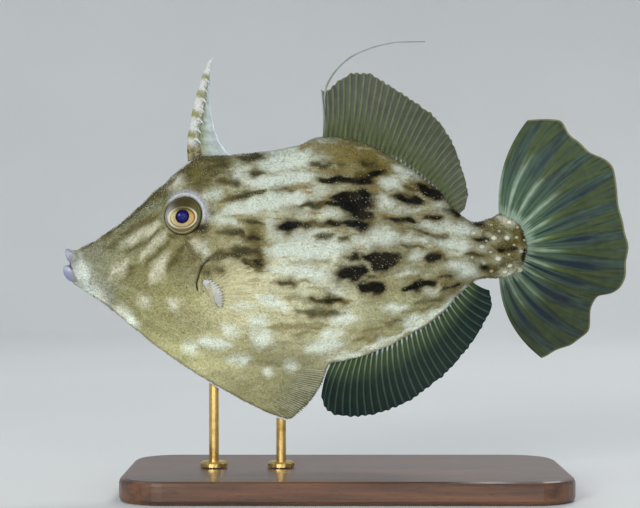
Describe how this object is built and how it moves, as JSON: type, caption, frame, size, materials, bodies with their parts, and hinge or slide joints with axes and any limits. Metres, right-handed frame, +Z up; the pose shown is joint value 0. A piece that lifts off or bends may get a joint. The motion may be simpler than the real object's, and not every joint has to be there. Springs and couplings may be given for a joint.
{
  "type": "threadsail filefish model on stand",
  "caption": "Life-size still model of a threadsail filefish swimming level, with raised barbed spine, thread-tipped dorsal fin and spread tail, on rods over a flat display base.",
  "frame": {"origin": "middle of the stand's flat underside, on the floor", "axes": "+Z up; the fish lies along X with its snout towards -X and its tail towards +X, so its left flank faces -Y"},
  "size_m": [0.1503, 0.062, 0.119],
  "materials": {
    "skin": "fine velvety skin, olive, cream and near-black mottling",
    "lip": "smooth pale lavender lips",
    "eye": "glossy wet eye, gold iris and deep blue pupil",
    "spine": "pale bone with olive bands",
    "fin": "thin translucent olive fin with raised rays",
    "anal_fin": "dark blue-green membrane with pale rays",
    "pectoral_fin": "thin translucent straw-coloured fin",
    "stand_wood": "dark satin varnished wood",
    "stand_metal": "brushed and lightly aged"
  },
  "bodies": {
    "root": {"head": "skin", "torso": "skin", "belly_flap": "skin", "tail_stem": "skin", "upper_lip": "lip", "lower_lip": "lip", "eye_left": "eye", "eye_right": "eye", "dorsal_spine": "spine", "spine_web": "spine", "dorsal_fin": "fin", "dorsal_thread": "fin", "caudal_fin": "fin", "anal_fin": "anal_fin", "pectoral_fin_left": "pectoral_fin", "pectoral_fin_right": "pectoral_fin", "stand_base": "stand_wood", "stand_rod_front": "stand_metal", "stand_rod_rear": "stand_metal"}
  },
  "joints": []
}
